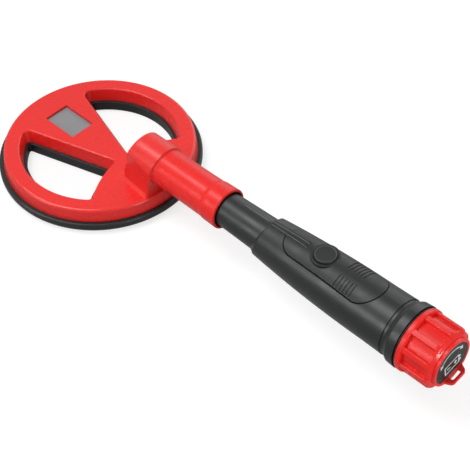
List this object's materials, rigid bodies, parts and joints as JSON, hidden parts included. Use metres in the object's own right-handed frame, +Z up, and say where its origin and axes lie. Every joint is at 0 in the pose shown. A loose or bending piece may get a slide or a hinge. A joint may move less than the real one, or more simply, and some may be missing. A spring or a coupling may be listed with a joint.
{
  "type": "hand-held metal detector",
  "caption": "In-line hand-held metal detector: spoked ring search head with a small display, tube, grip with a thumb button, and a ribbed screw cap over the battery.",
  "frame": {"origin": "centre of the search head's flat underside", "axes": "+X from the head along the grip to the screw cap, +Z up out of the head's top, +Y to the right of a user who holds the grip and looks along it towards the head"},
  "size_m": [0.4603, 0.171, 0.0716],
  "materials": {
    "red_plastic": "satin moulded ABS",
    "black_plastic": "fine-textured moulded nylon",
    "soft_grip": "soft-touch overmould",
    "button_rubber": "silicone, matt",
    "seal_rubber": "nitrile",
    "contact_rubber": "striped silicone",
    "coil_copper": "enamelled copper",
    "clear_pane": "clear acrylic",
    "display_glass": "grey liquid-crystal panel",
    "circuit_board": "solder-masked glass-epoxy",
    "connector": "nylon",
    "cable_jacket": "flexible vinyl",
    "switch_case": "moulded",
    "switch_stem": "moulded",
    "metal_can": "drawn can",
    "steel": "ground",
    "weight_alloy": "sintered",
    "contact_metal": "plated",
    "holder_plastic": "moulded",
    "battery_case": "lacquered can",
    "label_plate": "satin printed film",
    "foam": "open-cell foam"
  },
  "bodies": {
    "handle": {"coil_cover": "red_plastic", "socket_tube": "red_plastic", "coil_base": "black_plastic", "handle_body": "black_plastic", "grip_panel": "soft_grip", "head_gasket": "seal_rubber", "neck_seals": "seal_rubber", "button_seal": "seal_rubber", "zebra_strips": "contact_rubber", "search_coil": "coil_copper", "coil_leads": "coil_copper", "lcd_window": "clear_pane", "lcd_glass": "display_glass", "lcd_board": "circuit_board", "main_board": "circuit_board", "contact_plate": "circuit_board", "head_plug": "connector", "board_plug": "connector", "head_cable": "cable_jacket", "battery_leads": "cable_jacket", "switch_body": "switch_case", "controller_chip": "switch_case", "drive_transistor": "switch_case", "buzzer": "switch_case", "capacitors": "metal_can", "vibration_motor": "metal_can", "contact_clips": "contact_metal", "battery_terminals": "contact_metal", "battery_sleeve": "holder_plastic", "battery": "battery_case"},
    "button": {"button_cap": "button_rubber", "switch_plunger": "switch_stem"},
    "cap_carrier": {"cap_seal": "seal_rubber"},
    "cap": {"end_cap": "red_plastic", "cap_label": "label_plate", "battery_pad": "foam"},
    "motor_rotor": {"motor_shaft": "steel", "motor_weight": "weight_alloy"}
  },
  "joints": [
    {"name": "button_press", "type": "slide", "parent": "handle", "child": "button", "axis": [0, 0, -1], "range_m": [0, 0.001], "stiffness_N_per_m": 2500, "springref_m": -0.0006},
    {"name": "cap_travel", "type": "slide", "parent": "handle", "child": "cap_carrier", "axis": [1, 0, 0], "range_m": [0, 0.009]},
    {"name": "cap_turn", "type": "hinge", "parent": "cap_carrier", "child": "cap", "pos_m": [0.35, 0, 0.0458], "axis": [1, 0, 0], "range_deg": [0, 810]},
    {"name": "motor_spin", "type": "hinge", "parent": "handle", "child": "motor_rotor", "pos_m": [0.25, 0, 0.04405], "axis": [1, 0, 0], "continuous": true}
  ],
  "couplings": [
    {"joint": "cap_travel", "follows": "cap_turn", "m_per_rad": 0.000636}
  ]
}
